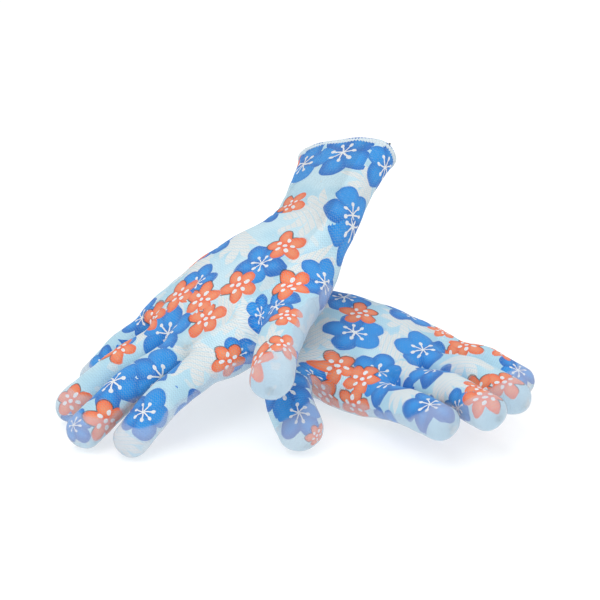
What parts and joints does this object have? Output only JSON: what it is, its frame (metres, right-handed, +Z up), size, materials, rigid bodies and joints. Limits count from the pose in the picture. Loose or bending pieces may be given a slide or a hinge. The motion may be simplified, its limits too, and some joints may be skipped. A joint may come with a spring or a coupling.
{
  "type": "gardening gloves",
  "caption": "Pair of thin knitted gardening gloves with a flower print, elastic cuffs and a clear dipped film on palms and fingers.",
  "frame": {"origin": "middle of the pair's box, on the surface they lie on", "axes": "+Z up, +X towards the left glove's fingers, -Y towards the thumbs"},
  "size_m": [0.2489, 0.2054, 0.1176],
  "materials": {
    "printed_knit": "thin printed polyester knit",
    "printed_rib": "printed elastic rib knit",
    "hem_thread": "overlocked thread",
    "elastic_thread": "covered elastic",
    "clear_film": "clear dipped polyurethane, satin"
  },
  "bodies": {
    "left_glove": {"left_hand": "printed_knit", "left_cuff": "printed_rib", "left_hem": "hem_thread", "left_elastic": "elastic_thread", "left_palm_coat": "clear_film"},
    "right_glove": {"right_hand": "printed_knit", "right_cuff": "printed_rib", "right_hem": "hem_thread", "right_elastic": "elastic_thread", "right_palm_coat": "clear_film"},
    "left_index_near": {"left_index_base": "printed_knit", "left_index_base_coat": "clear_film"},
    "left_index_far": {"left_index_tip": "printed_knit", "left_index_tip_coat": "clear_film"},
    "left_middle_near": {"left_middle_base": "printed_knit", "left_middle_base_coat": "clear_film"},
    "left_middle_far": {"left_middle_tip": "printed_knit", "left_middle_tip_coat": "clear_film"},
    "left_ring_near": {"left_ring_base": "printed_knit", "left_ring_base_coat": "clear_film"},
    "left_ring_far": {"left_ring_tip": "printed_knit", "left_ring_tip_coat": "clear_film"},
    "left_pinky_near": {"left_pinky_base": "printed_knit", "left_pinky_base_coat": "clear_film"},
    "left_pinky_far": {"left_pinky_tip": "printed_knit", "left_pinky_tip_coat": "clear_film"},
    "left_thumb_near": {"left_thumb_base": "printed_knit", "left_thumb_base_coat": "clear_film"},
    "left_thumb_far": {"left_thumb_tip": "printed_knit", "left_thumb_tip_coat": "clear_film"},
    "right_index_near": {"right_index_base": "printed_knit", "right_index_base_coat": "clear_film"},
    "right_index_far": {"right_index_tip": "printed_knit", "right_index_tip_coat": "clear_film"},
    "right_middle_near": {"right_middle_base": "printed_knit", "right_middle_base_coat": "clear_film"},
    "right_middle_far": {"right_middle_tip": "printed_knit", "right_middle_tip_coat": "clear_film"},
    "right_ring_near": {"right_ring_base": "printed_knit", "right_ring_base_coat": "clear_film"},
    "right_ring_far": {"right_ring_tip": "printed_knit", "right_ring_tip_coat": "clear_film"},
    "right_pinky_near": {"right_pinky_base": "printed_knit", "right_pinky_base_coat": "clear_film"},
    "right_pinky_far": {"right_pinky_tip": "printed_knit", "right_pinky_tip_coat": "clear_film"},
    "right_thumb_near": {"right_thumb_base": "printed_knit", "right_thumb_base_coat": "clear_film"},
    "right_thumb_far": {"right_thumb_tip": "printed_knit", "right_thumb_tip_coat": "clear_film"}
  },
  "joints": [
    {"name": "right_glove_lift", "type": "slide", "parent": "left_glove", "child": "right_glove", "axis": [0, 0, 1], "range_m": [0, 0.15]},
    {"name": "left_index_knuckle", "type": "hinge", "parent": "left_glove", "child": "left_index_near", "pos_m": [0.04439, -0.05455, 0.01791], "axis": [0.8311, 0.554, 0.0481], "range_deg": [-5, 60]},
    {"name": "left_index_middle", "type": "hinge", "parent": "left_index_near", "child": "left_index_far", "pos_m": [0.05601, -0.07244, 0.02331], "axis": [0.8311, 0.554, 0.0481], "range_deg": [-10, 50]},
    {"name": "left_middle_knuckle", "type": "hinge", "parent": "left_glove", "child": "left_middle_near", "pos_m": [0.0629, -0.04384, 0.02111], "axis": [0.8213, 0.5683, 0.0498], "range_deg": [-5, 60]},
    {"name": "left_middle_middle", "type": "hinge", "parent": "left_middle_near", "child": "left_middle_far", "pos_m": [0.07627, -0.06377, 0.02811], "axis": [0.8213, 0.5683, 0.0498], "range_deg": [-16, 44]},
    {"name": "left_ring_knuckle", "type": "hinge", "parent": "left_glove", "child": "left_ring_near", "pos_m": [0.07584, -0.02597, 0.02158], "axis": [0.7572, 0.6504, 0.06], "range_deg": [-5, 60]},
    {"name": "left_ring_middle", "type": "hinge", "parent": "left_ring_near", "child": "left_ring_far", "pos_m": [0.09007, -0.04308, 0.02737], "axis": [0.7572, 0.6504, 0.06], "range_deg": [-21, 39]},
    {"name": "left_pinky_knuckle", "type": "hinge", "parent": "left_glove", "child": "left_pinky_near", "pos_m": [0.0849, -0.00318, 0.01927], "axis": [0.5332, 0.8417, 0.0848], "range_deg": [-5, 60]},
    {"name": "left_pinky_middle", "type": "hinge", "parent": "left_pinky_near", "child": "left_pinky_far", "pos_m": [0.0983, -0.01181, 0.02061], "axis": [0.5332, 0.8417, 0.0848], "range_deg": [-24, 36]},
    {"name": "left_thumb_knuckle", "type": "hinge", "parent": "left_glove", "child": "left_thumb_near", "pos_m": [-0.00577, -0.03507, 0.02213], "axis": [0.7742, -0.0028, 0.633], "range_deg": [-13, 30]},
    {"name": "left_thumb_middle", "type": "hinge", "parent": "left_thumb_near", "child": "left_thumb_far", "pos_m": [-0.00422, -0.06195, 0.02011], "axis": [0.7742, -0.0028, 0.633], "range_deg": [-30, 30]},
    {"name": "right_index_knuckle", "type": "hinge", "parent": "right_glove", "child": "right_index_near", "pos_m": [-0.05124, -0.05599, 0.03368], "axis": [0.6002, -0.7979, 0.0563], "range_deg": [-5, 60]},
    {"name": "right_index_middle", "type": "hinge", "parent": "right_index_near", "child": "right_index_far", "pos_m": [-0.06728, -0.06863, 0.02551], "axis": [0.6002, -0.7979, 0.0563], "range_deg": [-17, 43]},
    {"name": "right_middle_knuckle", "type": "hinge", "parent": "right_glove", "child": "right_middle_near", "pos_m": [-0.06779, -0.04205, 0.0329], "axis": [0.588, -0.8074, 0.0481], "range_deg": [-5, 60]},
    {"name": "right_middle_middle", "type": "hinge", "parent": "right_middle_near", "child": "right_middle_far", "pos_m": [-0.08681, -0.05635, 0.02523], "axis": [0.588, -0.8074, 0.0481], "range_deg": [-13, 47]},
    {"name": "right_ring_knuckle", "type": "hinge", "parent": "right_glove", "child": "right_ring_near", "pos_m": [-0.07691, -0.02167, 0.03263], "axis": [0.4982, -0.867, -0.0092], "range_deg": [-5, 60]},
    {"name": "right_ring_middle", "type": "hinge", "parent": "right_ring_near", "child": "right_ring_far", "pos_m": [-0.09557, -0.0323, 0.02439], "axis": [0.4982, -0.867, -0.0092], "range_deg": [-11, 49]},
    {"name": "right_pinky_knuckle", "type": "hinge", "parent": "right_glove", "child": "right_pinky_near", "pos_m": [-0.07977, 0.00117, 0.03293], "axis": [0.4294, -0.9017, -0.0501], "range_deg": [-5, 60]},
    {"name": "right_pinky_middle", "type": "hinge", "parent": "right_pinky_near", "child": "right_pinky_far", "pos_m": [-0.0927, -0.00457, 0.02545], "axis": [0.4294, -0.9017, -0.0501], "range_deg": [-15, 45]},
    {"name": "right_thumb_knuckle", "type": "hinge", "parent": "right_glove", "child": "right_thumb_near", "pos_m": [-0.0057, -0.04928, 0.05702], "axis": [0.5239, -0.2444, 0.816], "range_deg": [-2, 40]},
    {"name": "right_thumb_middle", "type": "hinge", "parent": "right_thumb_near", "child": "right_thumb_far", "pos_m": [-0.01099, -0.07538, 0.0526], "axis": [0.5239, -0.2444, 0.816], "range_deg": [-8, 52]}
  ]
}
